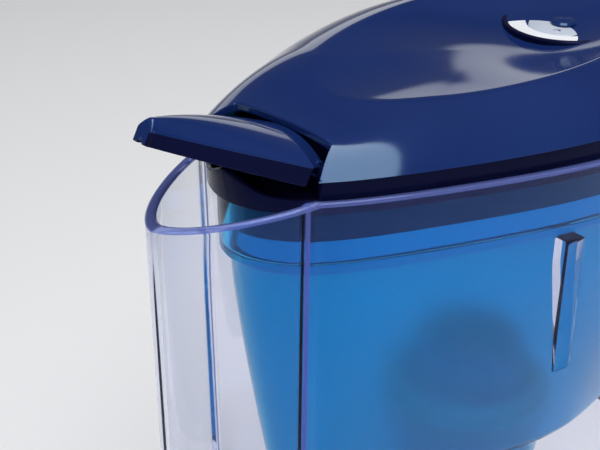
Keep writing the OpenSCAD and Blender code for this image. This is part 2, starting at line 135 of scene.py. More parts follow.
def eggPoint(inset, a, width=eggShape["width"]):
    # the egg that every moulding follows:
    # x = centre + (L/2 - inset) cos a, y = (nose/2 - inset + (W - nose)/2 * grow) sin a
    grow = smoothStep((0.85 + np.cos(a)) / 0.95)
    half = eggShape["noseWidth"] / 2 - inset + (width - eggShape["noseWidth"]) / 2 * grow
    return eggX + (eggShape["length"] / 2 - inset) * np.cos(a), half * np.sin(a)


def noseEase(x):
    # x + smoothStep((12 - x) / 24): the mouldings inside the rim stand back 1 mm round the nose
    return x + smoothStep((12 - x) / 24)


# clear jug: wall, lugs and handle
jugSizes = {"height": 222.0, "spoutReach": 33.8, "lipDrop": 3.0, "spoutRun": 90.0, "wall": 2.4,
            "lipWall": 3.6, "floor": 3.0, "draft": 4.0, "baseRound": 9.0, "creaseFill": 0.9,
            "lugThick": 5.0, "lugHeight": 42.0, "lugTop": -22.6, "lugAngles": {28: 46, 104: 94},
            "columns": 90, "spoutColumns": 44, "baseSteps": 10, "lowSteps": 22, "topSteps": 14,
            "rimSteps": 11, "paintedCreaseColumns": (38, 40)}


def taperAt(z):
    # the sides draw in evenly from the rim to the base
    return -z / jugSizes["height"] * jugSizes["draft"]


def spoutReachAt(z):
    # upright as far as the run, then an ease down to the nose
    t = (-z - jugSizes["spoutRun"]) / (jugSizes["height"] - jugSizes["spoutRun"])
    return mix(jugSizes["spoutReach"], eggShape["noseReach"] - jugSizes["draft"], smoothStep(t))


def jugRings(z, inset):
    # egg as far as the crease, then x = -reach sin(b)^1.63, y = wide cos(b)^1.2 out to the spout's tip
    z, inset = np.asarray(z, float)[:, None], np.asarray(inset, float)[:, None]
    d = inset + taperAt(z)
    lip = mix(1.0, jugSizes["lipWall"] / jugSizes["wall"], np.exp(z / 6))  # the wall thickens at the lip
    reach = spoutReachAt(z) - inset * lip
    crease = np.arccos(-eggX / (eggShape["length"] / 2 - d))
    a = crease * np.linspace(0, 1, jugSizes["columns"])[None, :]
    x1, y1 = eggPoint(d, a)
    b = pi / 2 * np.linspace(0, 1, jugSizes["spoutColumns"])[None, 1:]
    out = np.sin(b) ** 1.63
    x2, y2 = -reach * out, y1[:, -1:] * np.cos(b).clip(0) ** 1.2
    z2 = z - jugSizes["lipDrop"] * out * np.clip(1 + z / 60, 0, None)
    x, y = np.hstack([x1, x2]), np.hstack([y1, y2])
    fill = np.exp(-((x + 1.8) / 1.3) ** 2)  # a bell of filler inside the crease
    y = y - jugSizes["creaseFill"] * inset / jugSizes["wall"] * fill
    zz = np.hstack([np.repeat(z, x1.shape[1], axis=1), z2])
    back = slice(-2, 0, -1)
    return toTable(np.hstack([x, x[:, back]]), np.hstack([y, -y[:, back]]), np.hstack([zz, zz[:, back]]))


def backWallX(y, z):
    # the egg's back half at a height, x for a given y
    half = eggShape["width"] / 2 - taperAt(z)
    return eggX + (eggShape["length"] / 2 - taperAt(z)) * np.sqrt(1 - (y / half) ** 2)


handleSizes = {"reach": 50.0, "height": 140.0, "top": 24.0, "width": 24.0, "thick": 12.0}


def handlePath(t):
    # x = wall + reach * cos(b)^0.6 with b from -90 to 90 degrees, z falls evenly with a slight sway
    b = pi * t - pi / 2
    out = np.cos(b).clip(0) ** 0.6
    s = handleSizes
    midWall = jugSizes["wall"] / 2
    x = backWallX(0, -s["top"] - s["height"] * t) - midWall + (s["reach"] - s["thick"] / 2 + midWall) * out
    return x, -s["top"] - s["height"] * (t - 0.04 * np.sin(2 * pi * t))


def handleFrame(t, step=0.004):
    # the path's points, and the unit vector square to it in the x-z plane
    x, z = handlePath(t)
    xa, za = handlePath((t + step).clip(0, 1))
    xb, zb = handlePath((t - step).clip(0, 1))
    size = np.hypot(xa - xb, za - zb)
    return x[:, None], z[:, None], ((zb - za) / size)[:, None], ((xa - xb) / size)[:, None]


def makeJug():
    # levels (height, inset) run up the outside, over the rim's half round and down the inside
    s = jugSizes
    wall, low = s["wall"], -s["height"]
    b = np.linspace(0, pi / 2, s["baseSteps"])
    rim = np.linspace(0, pi, s["rimSteps"])
    levels = np.concatenate([np.linspace(low + s["baseRound"] + 4, -s["spoutRun"], s["lowSteps"]),
                             np.linspace(-s["spoutRun"] + 6, -wall / 2 - 0.6, s["topSteps"])])
    z = np.concatenate([low + s["baseRound"] * (1 - np.cos(b)), levels,
                        -wall / 2 + wall / 2 * np.sin(rim), levels[::-1],
                        low + s["floor"] + s["baseRound"] * (1 - np.cos(b[::-1]))])
    inset = np.concatenate([s["baseRound"] * (1 - np.sin(b)) * 0.8, 0 * levels,
                            wall / 2 - wall / 2 * np.cos(rim), 0 * levels + wall,
                            wall + s["baseRound"] * (1 - np.sin(b[::-1])) * 0.8])
    return skinMesh("jugWall", jugRings(z, inset), startPole=True, endPole=True)


def makeHandle():
    # ring of x = reach |cos b|^0.8, y = -W/2 sin b, set square to the path; the ends lie in the wall
    t = np.concatenate([[0], np.linspace(0.006, 0.994, 110), [1]])
    x, z, faceX, faceZ = handleFrame(t)
    b = np.linspace(0, 2 * pi, 48, endpoint=False)[None, :]
    reach = handleSizes["thick"] / 2 * np.sign(np.cos(b)) * np.abs(np.cos(b)) ** 0.8
    y = -handleSizes["width"] / 2 * np.sin(b) + 0 * t[:, None]
    gx, gz = x + faceX * reach, z + faceZ * reach
    ends = ((t == 0) | (t == 1))[:, None]
    gx = np.where(ends, backWallX(y, gz) - jugSizes["wall"] / 2, gx)
    return skinMesh("jugHandle", toTable(gx, y, gz), startPole=True, endPole=True)


def makeLugs():
    # a short rib for each lug: its flank profile carried 6 mm along the wall, x and y turned to face in
    s = jugSizes
    lugs = []
    flank = roundCorners([[0.4, 0], [-s["lugThick"], 0], [-s["lugThick"], -s["lugHeight"] * 0.2],
                          [-0.4, -s["lugHeight"]], [0.4, -s["lugHeight"]]], 0.8, 5)
    mid = flank.mean(axis=0)
    across = np.linspace(3, -3, 5)[:, None]
    isEnd = np.abs(across) > 2.9  # both end faces are drawn in a little
    lx = mid[0] + (flank[None, :, 0] - mid[0]) * np.where(isEnd, 0.94, 1.0)
    lz = mid[1] + (flank[None, :, 1] - mid[1]) * np.where(isEnd, 0.99, 1.0)
    for place, facing in s["lugAngles"].items():
        for side in (-1, 1):
            wx, wy = eggPoint(s["wall"], radians(place))
            turn = side * radians(facing)
            x = wx + lx * np.cos(turn) - across * np.sin(turn)
            y = side * wy + lx * np.sin(turn) + across * np.cos(turn)
            lugs.append(skinMesh("lug", toTable(x, y, s["lugTop"] + lz), startPole=True, endPole=True))
    return joinPieces("jugLugs", lugs)


# soft grip bedded on the handle's inner face
gripSizes = {"thick": 2.2, "from": 0.2, "to": 0.78, "halfShare": 0.4, "gap": 0.03}


def makeGrip():
    # crowned strip: the seat follows the handle, the thickness swells as sqrt(1 - v^4), the ends taper round
    s, h = gripSizes, handleSizes
    u = np.linspace(1, 0, 60)
    x, z, faceX, faceZ = handleFrame(mix(s["from"], s["to"], u))
    w = h["width"] * s["halfShare"] * np.sin(pi * mix(0.08, 0.92, u)) ** 0.4
    v = np.linspace(-1, 1, 17)
    swell = (1 - np.abs(v[::-1]) ** 4) ** 0.5
    across = np.concatenate([v, v[::-1][1:-1] * 0.97])[None, :]
    lift = np.concatenate([0 * v, swell[1:-1]])[None, :]
    y = across * w[:, None]
    seat = h["thick"] / 2 * np.sqrt(1 - (2 * y / h["width"]) ** 2) ** 0.8 + s["gap"]
    reach = -(seat + s["thick"] * lift)
    return skinMesh("softGrip", toTable(x + faceX * reach, y, z + faceZ * reach),
                    startPole=True, endPole=True)


jugWall, jugHandle, jugLugs, softGrip = makeJug(), makeHandle(), makeLugs(), makeGrip()
for piece in (jugWall, jugHandle, jugLugs):
    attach(piece, "jug")
    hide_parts("jug")
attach(softGrip, "jug")
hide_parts("handle_grip")
print("stage: jug made")

# tinted hopper
hopperSizes = {"depth": 112.0, "wall": 2.0, "ledge": -22.3, "ledgeWidth": 2.7, "drawIn": 13.8,
               "bandInset": 5.5, "bandTop": -4.3, "bore": 23.0, "socket": 16.0, "columns": 300,
               "cornerSteps": 5, "bandCorners": (20, 27)}


def makeHopper():
    # profile rows of (inset, height, circle radius, share of circle), corners rounded, run round the egg
    s = hopperSizes
    under = s["bandInset"] + s["ledgeWidth"]
    run = s["depth"] + s["ledge"]
    t = np.linspace(0, 1, 16)
    dropIn = under + 0.6 + s["drawIn"] * t ** 1.3
    dropZ = s["ledge"] - run * t
    low, floorZ, topZ = dropIn[-1], -s["depth"], -s["depth"] + s["wall"]
    bore, wall = s["bore"], s["wall"]
    blendR = bore * 1.12  # circle that the floor blends to round the socket
    seat = blendR + 1
    rows = [[low, floorZ - s["socket"], bore, 1, 0.4], [low, floorZ - s["socket"], bore + wall, 1, 0.4],
            [low, floorZ - 2, bore + wall, 1, 1.0], [low, floorZ, seat, 1, 0.6],
            [low + 3, floorZ, blendR, 0.5, 0.6], [low + 4, floorZ, blendR, 0, 2.5]]
    rows += [[i, z, blendR, 0, 2.5 if k == 0 else 0.8]
             for k, (i, z) in enumerate(zip(dropIn[14:0:-1], dropZ[14:0:-1]))]
    rows += [[under, s["ledge"] - 1.2, blendR, 0, 0.4], [under, s["ledge"], blendR, 0, 0.5],
             [s["bandInset"], s["ledge"], blendR, 0, 0.9], [s["bandInset"], s["bandTop"], blendR, 0, 0.5],
             [s["bandInset"] + wall, s["bandTop"], blendR, 0, 0.5],
             [s["bandInset"] + wall, s["ledge"] + wall, blendR, 0, 0.8],
             [under + wall, s["ledge"] + wall, blendR, 0, 1.5]]
    rows += [[i + wall, z, blendR, 0, 0.8] for i, z in zip(dropIn[2:15], dropZ[2:15])]
    rows += [[low + 5, topZ, blendR, 0, 3.0], [low + 6, topZ, blendR, 0.5, 0.5],
             [low, topZ, seat, 1, 0.4], [low, topZ + 1.5, seat, 1, 0.4], [low, topZ + 1.5, bore, 1, 0.4]]
    rows = np.array(rows)
    plan = np.column_stack([mix(rows[:, 0], 60 - rows[:, 2], rows[:, 3]), rows[:, 1], rows[:, 0],
                            rows[:, 2], rows[:, 3]])
    prof = roundCorners(plan, rows[:, 4], s["cornerSteps"])
    z, inset, radius, share = (prof[:, c][:, None] for c in (1, 2, 3, 4))
    a = np.linspace(0, 2 * pi, s["columns"], endpoint=False)[None, :]
    ex, ey = eggPoint(inset, a)
    x = mix(noseEase(ex), eggX + radius * np.cos(a), share)
    y = mix(ey, radius * np.sin(a), share)
    return skinMesh("hopperBowl", toTable(x, y, z + 0 * a), loopAlong=True)


hopperBowl = makeHopper()
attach(hopperBowl, "hopper")
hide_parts("hopper")
print("stage: hopper made")

# collar under the lid
collarSizes = {"inset": 2.8, "band": 1.8, "seat": -4.3, "web": 2.0, "plugInset": 7.8, "plugWall": 2.0,
               "plug": 9.5, "crest": 4.2, "lidZ": 5.4, "columns": 1100}


def bandTop(x, y):
    # -0.7 with a bell of crest height over the nose, stepping up to the lid behind the crease
    s = collarSizes
    bell = -0.7 + (s["crest"] + 0.7) * np.exp(-(y / 8) ** 2)
    return mix(bell, s["lidZ"], smoothStep((x - 1.8) / 1.0))


def makeCollar():
    # profile rows of (inset, height, share of the band's top line), corners rounded, run round the egg
    s = collarSizes
    plugIn = s["plugInset"] + s["plugWall"]
    top = 3.0  # nominal top of the band, moved to its top line below
    rows = np.array([
        [s["inset"], s["seat"], 0, 0.3], [s["inset"], top, 1, 0.9], [s["inset"] + s["band"], top, 1, 0.9],
        [s["inset"] + s["band"], s["seat"] + s["web"], 0, 0.6], [plugIn, s["seat"] + s["web"], 0, 0.4],
        [plugIn, s["seat"] - s["plug"], 0, 0.5], [s["plugInset"], s["seat"] - s["plug"], 0, 0.5],
        [s["plugInset"], s["seat"], 0, 0.3]])
    prof = roundCorners(rows[:, :3], rows[:, 3], 6)
    inset, z, share = (prof[:, c][:, None] for c in (0, 1, 2))
    a = np.linspace(0, 2 * pi, s["columns"], endpoint=False)[None, :]
    x, y = eggPoint(inset, a)
    px, py = eggPoint(s["inset"] + s["band"] / 2, a)
    zz = z + share * (bandTop(px, py) - top)
    return skinMesh("lidCollar", toTable(noseEase(x), y, zz), loopAlong=True)


# lid: dome, dish and the flap's notch
lidSizes = {"z": 5.4, "thick": 2.2, "dome": 10.0, "domeFront": 6.4, "dishLength": 128.0,
            "dishWidth": 68.0, "dish": 8.0, "notchX": 9.6, "notchWidth": 35.4, "mouthWidth": 43.8,
            "inset": 0.3, "width": 117.0, "edge": 0.6, "scoop": 5.2, "scoopX": 58.0, "cornerRound": 1.2,
            "outlineSteps": 300}


def crownAt(x):
    # the dome is lower at the notch and rises to its full height within 32 mm
    s = lidSizes
    return mix(s["domeFront"], s["dome"], smoothStep((x - s["notchX"]) / 32))


def solveLid(x, y):
    # for a point in plan: the share s of the way to the dish, and the ring angle, by halving s
    s = lidSizes
    dx, dy = x - eggX, y
    lo, hi = np.full(x.shape, -0.06), np.ones(x.shape)
    for _ in range(34):
        mid = (lo + hi) / 2
        a = np.arctan2(dy, dx)
        for _ in range(8):
            bx, by = eggPoint(s["inset"], a, s["width"])
            halfX = mix(eggShape["length"] / 2 - s["inset"], s["dishLength"] / 2, mid)
            eggHalf = by / np.where(np.abs(np.sin(a)) < 1e-6, 1, np.sin(a))
            halfY = mix(np.where(np.abs(np.sin(a)) < 1e-6, 50, eggHalf), s["dishWidth"] / 2, mid)
            a = np.arctan2(dy / halfY, dx / halfX)
        outside = np.hypot(dx / halfX, dy / halfY) > 1
        hi, lo = np.where(outside, mid, hi), np.where(outside, lo, mid)
    return (lo + hi) / 2, a


def domeTop(x, y):
    # rise = lean * share + (1 - lean) * (1 - (1 - share / reach)^power), gentler behind the notch
    s = lidSizes
    share, a = solveLid(x, y)
    share = np.clip(share, 0, 1)
    back = smoothStep((x - 9) / 42)
    reach, power, lean = mix(0.6, 1.0, back), mix(2.6, 2.1, back), 0.45 * back
    run = 1 - np.clip(share / reach, 0, 1)
    return s["z"] + crownAt(x) * (lean * share + (1 - lean) * (1 - run ** power))


def dishTop(q, a):
    # falls from the ring's height by its depth * (1 - q^2.4); the scoop is shallower towards the spout
    s = lidSizes
    ringX = eggX + s["dishLength"] / 2 * np.cos(a)
    rise = crownAt(ringX)
    behind = smoothStep((eggX - s["scoopX"] + q * (ringX - eggX)) / 60)
    depth = s["dish"] + rise - s["dome"] - s["scoop"] * (1 - behind)
    return s["z"] + rise - depth * (1 - q ** 2.4)


def lidBoundary():
    # the egg's outline round the back, then the notch's side, its rounded corner and its bowed back
    s = lidSizes
    slope = (s["mouthWidth"] - s["notchWidth"]) / 2 / (s["notchX"] - 2)
    a = np.linspace(0, pi, 4001)
    ex, ey = eggPoint(s["inset"], a, s["width"])
    inside = ey - (s["mouthWidth"] / 2 - slope * (ex - 1)) > 0
    stop = a[np.nonzero((ex < 20) & ~inside)[0][0]]
    ax, ay = eggPoint(s["inset"], np.linspace(0, stop, s["outlineSteps"]), s["width"])
    corner = np.array([[ax[-1], ay[-1]], [s["notchX"] - 1, s["notchWidth"] / 2],
                       [s["notchX"] - 0.2, s["notchWidth"] / 4], [s["notchX"], 0.0]])
    t = np.linspace(0, 1, 14)[1:, None]
    toSide, toBack = corner[0] - corner[1], corner[2] - corner[1]
    sideEnd = corner[1] + toSide / np.linalg.norm(toSide) * s["cornerRound"]
    backStart = corner[1] + toBack / np.linalg.norm(toBack) * s["cornerRound"]
    side = corner[0] + (sideEnd - corner[0]) * t
    turned = (1 - t) ** 2 * sideEnd + 2 * t * (1 - t) * corner[1] + t ** 2 * backStart
    yy = np.linspace(backStart[1], 0, 40)[1:]
    backX = s["notchX"] - (s["notchX"] - backStart[0]) * (yy / backStart[1]) ** 2
    half = np.vstack([np.column_stack([ax, ay]), side, turned, np.column_stack([backX, yy])])
    cut = (np.arange(len(half)) >= s["outlineSteps"]).astype(float)  # 1 round the notch, 0 on the egg
    plan = np.vstack([half, half[-2:0:-1] * [1, -1]])
    return plan, np.concatenate([cut, cut[-2:0:-1]])


def makeLid():
    # rows run from the dish's middle out over the dome, round the edge and back underneath
    s = lidSizes
    plan, cut = lidBoundary()
    share, ringA = solveLid(plan[:, 0], plan[:, 1])
    dishX = eggX + s["dishLength"] / 2 * np.cos(ringA)
    dishY = s["dishWidth"] / 2 * np.sin(ringA)
    away = np.hypot(dishX - plan[:, 0], dishY - plan[:, 1])
    q = np.concatenate([np.linspace(0.02, 0.86, 26), np.linspace(0.88, 1.0, 9)])  # rows in the dish
    topX = eggX + (dishX - eggX)[None, :] * q[:, None]
    topY = dishY[None, :] * q[:, None]
    topZ = dishTop(q[:, None], ringA[None, :])
    fromEdge = np.array([0, 0.04, 0.12, 0.22, 0.34, 0.48, 0.62, 0.85, 1.3, 2.0, 3.0, 4.4])[:, None]
    last = fromEdge[-1] / away[None, :]
    onward = (np.linspace(0.2, 0.98, 30)[:, None] - 0.15) / 0.86
    t = np.vstack([fromEdge / away[None, :], last + (1 - last) * onward])
    rowX = mix(plan[:, 0][None, :], dishX[None, :], t)
    rowY = mix(plan[:, 1][None, :], dishY[None, :], t)
    rowZ = domeTop(rowX, rowY)
    short = np.clip(s["edge"] - t * away, 0, None)
    bevel = s["edge"] - np.sqrt(np.clip(s["edge"] ** 2 - short ** 2, 0, None))
    rowZ = rowZ - np.minimum(bevel * cut[None, :], (rowZ - s["z"]) * 0.6)
    topX, topY, topZ = (np.vstack([a, b[::-1]]) for a, b in ((topX, rowX), (topY, rowY), (topZ, rowZ)))
    kernel = np.array([1, 2, 3, 4, 3, 2, 1]) / 16.0  # eases the ring where dish and dome meet
    soft = np.stack([np.convolve(np.pad(topZ[:, c], 3, mode="edge"), kernel, "valid")
                     for c in range(topZ.shape[1])], axis=1)
    rows = np.arange(len(topZ))[:, None]
    near = np.exp(-((rows - len(q)) / 3.0) ** 2)
    topZ = mix(topZ, soft, near)
    edgeZ = rowZ[0]
    lowZ = np.maximum(np.where(cut > 0, edgeZ + s["edge"] - s["thick"], s["z"]), s["z"])
    lowZ = np.minimum(lowZ, edgeZ - 0.02)
    wallZ = mix(edgeZ[None, :], lowZ[None, :], np.array([0.33, 0.66, 0.92, 1.0])[:, None])
    pullIn = np.array([0, 0, 0.03, 0.12])[:, None] / away[None, :]
    wallX, wallY = mix(plan[:, 0], dishX, pullIn), mix(plan[:, 1], dishY, pullIn)
    pick = [6, 9, 11] + list(range(14, len(t), 3))  # fewer rows will do underneath
    underX, underY = rowX[pick], rowY[pick]
    underZ = np.maximum(domeTop(underX, underY) - s["thick"], s["z"])
    backQ = np.array([0.97, 0.9, 0.75, 0.5, 0.25, 0.06])[:, None]
    dishUnderX, dishUnderY = eggX + (dishX - eggX)[None, :] * backQ, dishY[None, :] * backQ
    dishUnderZ = dishTop(backQ, ringA[None, :]) - s["thick"]
    x = np.vstack([topX, wallX, underX, dishUnderX])[::-1]
    y = np.vstack([topY, wallY, underY, dishUnderY])[::-1]
    z = np.vstack([topZ, wallZ, underZ, dishUnderZ])[::-1]
    return skinMesh("lidDome", toTable(x, y, z), startPole=True, endPole=True, sharpDeg=50)


lidDome, lidCollar = makeLid(), makeCollar()
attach(lidDome, "lid")
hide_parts("lid_shell")
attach(lidCollar, "lid")
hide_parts("lid_collar")
print("stage: lid made")

# pouring flap, drawn shut about its hinge and swung open
flapSizes = {"length": 42.6, "width": 38.8, "tipWidth": 3.6, "skirt": 5.2, "tipSkirt": 3.8,
             "crown": 4.8, "crownTip": 2.4, "crownPower": 2.3, "tipRound": 1.3, "sweep": 0.88,
             "thick": 1.7, "open": 30.0, "hingeX": 5.6, "hingeZ": 5.0, "skirtEnd": -5.4, "rear": 2.6,
             "rearLean": 0.35, "corner": 0.35, "lip": 0.35, "knuckleIn": 12.5, "knuckleOut": 16.6,
             "knuckle": 2.1, "pin": 1.2, "lipSteps": 5, "cornerSteps": 6, "overSteps": 42, "innerSteps": 30}


def flapEdge(x):
    # height of the crown's edges, rising evenly to the hinge
    return 0.35 + 0.127 * (x - flapSizes["skirtEnd"])


def flapRun(x):
    # 0 at the tip, 1 where the skirt ends
    return (flapSizes["length"] + x) / (flapSizes["length"] + flapSizes["skirtEnd"])


def flapHalf(x):
    # half width in plan: tip/2 + (width - tip)/2 * run^sweep, so the sides bow a little near the tip
    s = flapSizes
    return mix(s["tipWidth"] / 2, s["width"] / 2, np.clip(flapRun(x), 0, 1) ** s["sweep"])


def crownOver(x, y, w):
    # edge + crown * (1 - |y / w|^2.3); the crown holds its height to the tip, then drops by half
    s = flapSizes
    rise = mix(s["crownTip"], s["crown"], 1 - np.clip(1 - flapRun(x), 0, 1) ** 3)
    d = 1 - np.clip((x + s["length"]) / s["tipRound"], 0, 1)
    across = 1 - np.clip(np.abs(y / w), 0, 1) ** s["crownPower"]
    return flapEdge(x) + rise * np.sqrt(1 - 0.75 * d * d) * across


def bend(p, c, q, steps):
    # (1-t)^2 p + 2t(1-t) c + t^2 q for each row at once
    t = np.linspace(0, 1, steps)[None, :, None]
    return (1 - t) ** 2 * p[:, None] + 2 * t * (1 - t) * c[:, None] + t ** 2 * q[:, None]


def openOut(x, y, z):
    # turn about the hinge by the angle it stands open, then move to the hinge
    s = flapSizes
    a = radians(s["open"])
    return toTable(s["hingeX"] + x * np.cos(a) + z * np.sin(a), y,
                   s["hingeZ"] - x * np.sin(a) + z * np.cos(a))


def makeFlap():
    # rings across the flap from its rear edge to the tip: lip, wall, crown, wall, lip and hollow underside
    s = flapSizes
    tip = -s["length"]
    rear = s["rear"] - np.array([0.0, 0.06, 0.18, 0.4])
    plateX = np.concatenate([rear, np.linspace(s["rear"] - 0.8, s["skirtEnd"] + 0.02, 12)])
    skirtX = np.concatenate([[s["skirtEnd"] - 0.02, s["skirtEnd"] - 0.12, s["skirtEnd"] - 0.35],
                             np.linspace(s["skirtEnd"] - 0.8, tip + s["tipRound"], 60)])
    u = np.linspace(0, 1, 12)[1:]
    tipX = tip + s["tipRound"] * (1 - np.sin(u * pi / 2))
    x = np.concatenate([plateX, skirtX, tipX])
    body = len(plateX) + len(skirtX)
    w = np.where(x > s["skirtEnd"], s["width"] / 2 - (x - s["skirtEnd"]) * 0.5, flapHalf(x))
    w = np.maximum(w, flapHalf(tip + 1.2)) * np.concatenate([np.ones(body), 1 - 0.25 * u ** 4])
    hasSkirt = (np.arange(len(x)) >= len(plateX)).astype(float)
    low = flapEdge(x) - np.where(hasSkirt > 0, mix(s["tipSkirt"], s["skirt"], flapRun(x)), s["thick"])
    low = low + np.interp(x, [s["skirtEnd"] - 0.35, s["skirtEnd"]], [0, 0.3]) * hasSkirt
    wi = np.where(hasSkirt > 0, np.maximum(w - s["thick"], w * 0.4), w - 0.5)
    edge = flapEdge(x)
    r = np.minimum(s["corner"], w * 0.3)
    lip = np.minimum(s["lip"], (w - wi) * 0.48)

    def at(y, z):
        return np.stack([y, z], axis=-1)

    def half(sign):
        return [at(sign * (w - lip), low), at(sign * w, low), at(sign * w, low + lip),
                at(sign * w, edge - r), at(sign * w, edge), at(sign * (w - r), crownOver(x, w - r, w))]
    a, b = half(-1), half(1)
    v = np.linspace(-1, 1, s["overSteps"] + 2)[None, 1:-1] * (w - r)[:, None]
    over = at(v, crownOver(x[:, None], v, w[:, None]))
    deep = np.where(hasSkirt > 0, smoothStep((x - tip - 2.4) / 2.5), 1.0)
    vi = np.linspace(1, -1, s["innerSteps"])[None, :]
    yi = vi * wi[:, None] * 0.985
    under = crownOver(x[:, None], yi, w[:, None]) - s["thick"]
    shallow = low[:, None] + 0.4 + 0.3 * (1 - vi ** 2)
    inner = at(yi, mix(shallow, under, deep[:, None]))
    ring = np.concatenate([
        bend(a[0], a[1], a[2], s["lipSteps"]), bend(a[3], a[4], a[5], s["cornerSteps"]), over,
        bend(b[5], b[4], b[3], s["cornerSteps"]), bend(b[2], b[1], b[0], s["lipSteps"]),
        at(wi + 0.02, low)[:, None], inner, at(-wi - 0.02, low)[:, None]], axis=1)
    rearRun = (x - s["skirtEnd"]) / (s["rear"] - s["skirtEnd"])
    lean = np.where(x > s["skirtEnd"], s["rearLean"] * rearRun, 0)[:, None]
    mid = crownOver(x[:, None], np.clip(ring[:, :, 0], -w[:, None], w[:, None]), w[:, None]) - s["thick"] / 2
    pinch = 1 - np.concatenate([[0.45, 0.22, 0.07, 0.0], np.zeros(len(x) - 4)])[:, None]
    rz = np.where(hasSkirt[:, None] > 0, ring[:, :, 1], mid + (ring[:, :, 1] - mid) * pinch)
    fade = np.concatenate([np.ones(body), 1 - 0.15 * u ** 4])[:, None]
    middle = rz.mean(axis=1, keepdims=True)
    rz = middle + (rz - middle) * fade
    gx = x[:, None] - lean * (rz - edge[:, None])
    return skinMesh("flapShell", openOut(gx, ring[:, :, 0], rz), startPole=True, endPole=True, sharpDeg=45)


def makeKnuckle(side):
    # tube about the hinge pin: profile of (radius, y) turned round
    s = flapSizes
    prof = roundCorners([[s["pin"], side * s["knuckleIn"]], [s["knuckle"], side * s["knuckleIn"]],
                         [s["knuckle"], side * s["knuckleOut"]], [s["pin"], side * s["knuckleOut"]]], 0.3, 4)
    a = np.linspace(0, 2 * pi, 40, endpoint=False)[None, :] * -side
    r, y = prof[:, :1], prof[:, 1:2]
    return skinMesh("knuckle", openOut(r * np.cos(a), y + 0 * a, r * np.sin(a)), loopAlong=True)


flapSkin = makeFlap()
topFrom = flapSizes["lipSteps"]
topTo = topFrom + 2 * flapSizes["cornerSteps"] + flapSizes["overSteps"] - 1
flapCols = topTo + 1 + flapSizes["lipSteps"] + flapSizes["innerSteps"] + 2
flapQuads = len(flapSkin.data.polygons) - 2 * flapCols
flapShell = joinPieces("flapShell", [flapSkin, makeKnuckle(-1), makeKnuckle(1)])
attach(flapShell, "flap")
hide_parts("flap")
print("stage: flap made")


# materials
def newFloatGroup(name, inputs, outputs):
    # a shader group whose sockets are all plain numbers
    group = bpy.data.node_groups.new(name, "ShaderNodeTree")
    for label, value in inputs.items():
        socket = group.interface.new_socket(name=label, in_out="INPUT", socket_type="NodeSocketFloat")
        socket.default_value = value
    for label in outputs:
        group.interface.new_socket(name=label, in_out="OUTPUT", socket_type="NodeSocketFloat")
    return group, group.nodes.new("NodeGroupInput"), group.nodes.new("NodeGroupOutput")


def mouldMarks():
    # soft cloudy unevenness plus fine hairlines, both as masks, with a small height
    group, entry, leave = newFloatGroup("mouldMarks", {
        "Cloud Scale": 30.0, "Line Scale": 900.0, "Low Rough": 0.1, "High Rough": 0.2},
        ["Roughness", "Height", "Cloud"])
    nodes, links = group.nodes, group.links
    coord = nodes.new("ShaderNodeTexCoord")
    cloud = nodes.new("ShaderNodeTexNoise")
    cloud.inputs["Detail"].default_value = 4
    fine = nodes.new("ShaderNodeTexNoise")
    fine.inputs["Detail"].default_value = 2
    links.new(coord.outputs["Object"], cloud.inputs["Vector"])
    links.new(coord.outputs["Object"], fine.inputs["Vector"])
    links.new(entry.outputs["Cloud Scale"], cloud.inputs["Scale"])
    links.new(entry.outputs["Line Scale"], fine.inputs["Scale"])
    span = nodes.new("ShaderNodeMapRange")
    span.inputs["From Min"].default_value = 0.35
    span.inputs["From Max"].default_value = 0.65
    links.new(cloud.outputs["Fac"], span.inputs["Value"])
    links.new(entry.outputs["Low Rough"], span.inputs["To Min"])
    links.new(entry.outputs["High Rough"], span.inputs["To Max"])
    links.new(span.outputs["Result"], leave.inputs["Roughness"])
    links.new(fine.outputs["Fac"], leave.inputs["Height"])
    links.new(cloud.outputs["Fac"], leave.inputs["Cloud"])
    return group


marksGroup = mouldMarks()


def baseMaterial(name, look, distance=0.0001):
    # a Principled shader with the marks group on its roughness and normal
    material = bpy.data.materials.new(name)
    material.use_nodes = True
    nodes, links = material.node_tree.nodes, material.node_tree.links
    shader = nodes["Principled BSDF"]
    marks = nodes.new("ShaderNodeGroup")
    marks.node_tree = marksGroup
    clouds, lines = look["marks"]
    low, high = look["rough"]
    marks.inputs["Cloud Scale"].default_value = clouds
    marks.inputs["Line Scale"].default_value = lines
    marks.inputs["Low Rough"].default_value = low
    marks.inputs["High Rough"].default_value = high
    links.new(marks.outputs["Roughness"], shader.inputs["Roughness"])
    bumpNode = nodes.new("ShaderNodeBump")
    bumpNode.inputs["Strength"].default_value = look["bump"]
    bumpNode.inputs["Distance"].default_value = distance
    links.new(marks.outputs["Height"], bumpNode.inputs["Height"])
    links.new(bumpNode.outputs["Normal"], shader.inputs["Normal"])
    return material, shader, marks, bumpNode


def tintBetween(material, shader, marks, dark, light):
    # colour = mix(dark, light, cloud)
    nodes, links = material.node_tree.nodes, material.node_tree.links
    ramp = nodes.new("ShaderNodeValToRGB")
    ramp.color_ramp.elements[0].position = 0.3
    ramp.color_ramp.elements[1].position = 0.7
    ramp.color_ramp.elements[0].color = (*dark, 1)
    ramp.color_ramp.elements[1].color = (*light, 1)
    links.new(marks.outputs["Cloud"], ramp.inputs["Fac"])
    links.new(ramp.outputs["Color"], shader.inputs["Base Color"])


